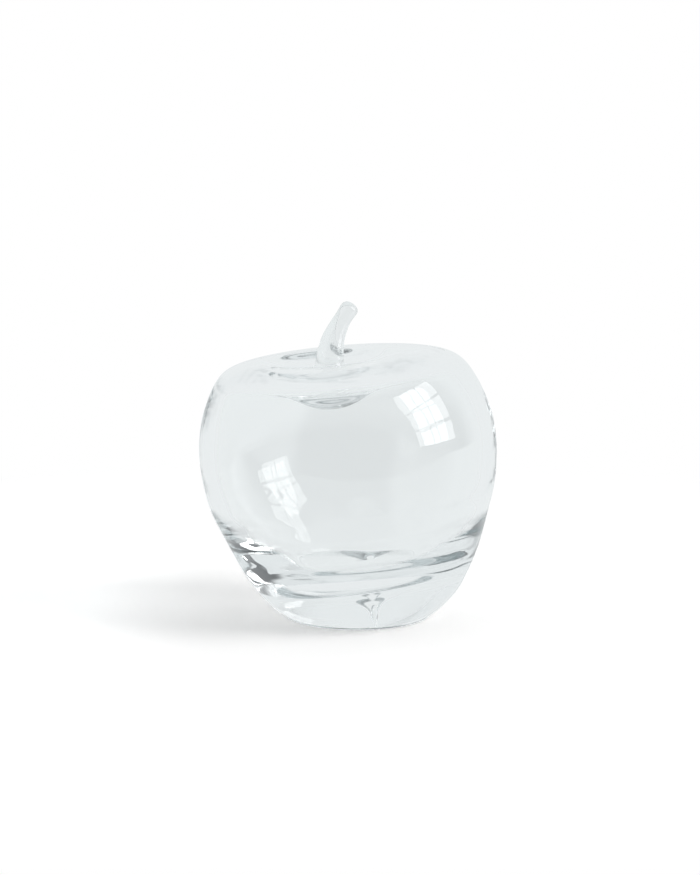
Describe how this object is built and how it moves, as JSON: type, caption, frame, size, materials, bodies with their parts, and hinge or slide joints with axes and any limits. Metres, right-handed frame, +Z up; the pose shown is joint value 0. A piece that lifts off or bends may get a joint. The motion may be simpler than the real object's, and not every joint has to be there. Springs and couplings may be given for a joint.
{
  "type": "glass apple ornament",
  "caption": "Clear blown-glass apple, hollow with a heavy foot, a dimpled top and a curved solid stem; stands at a slight lean on its ground base.",
  "frame": {"origin": "middle of the ground flat that the apple stands on", "axes": "+Z up, the apple leans 7 degrees towards -X, and the stem bends back towards +X; the front faces -Y"},
  "size_m": [0.1, 0.1, 0.1067],
  "materials": {
    "blown_glass": "fire-polished clear crystal",
    "foot_glass": "clear crystal, ground and polished flat underneath",
    "stem_glass": "fire-polished clear crystal"
  },
  "bodies": {
    "root": {"blown_body": "blown_glass", "base_gather": "foot_glass", "blow_hole_seal": "foot_glass", "stem_pad": "stem_glass", "stem": "stem_glass"}
  },
  "joints": []
}
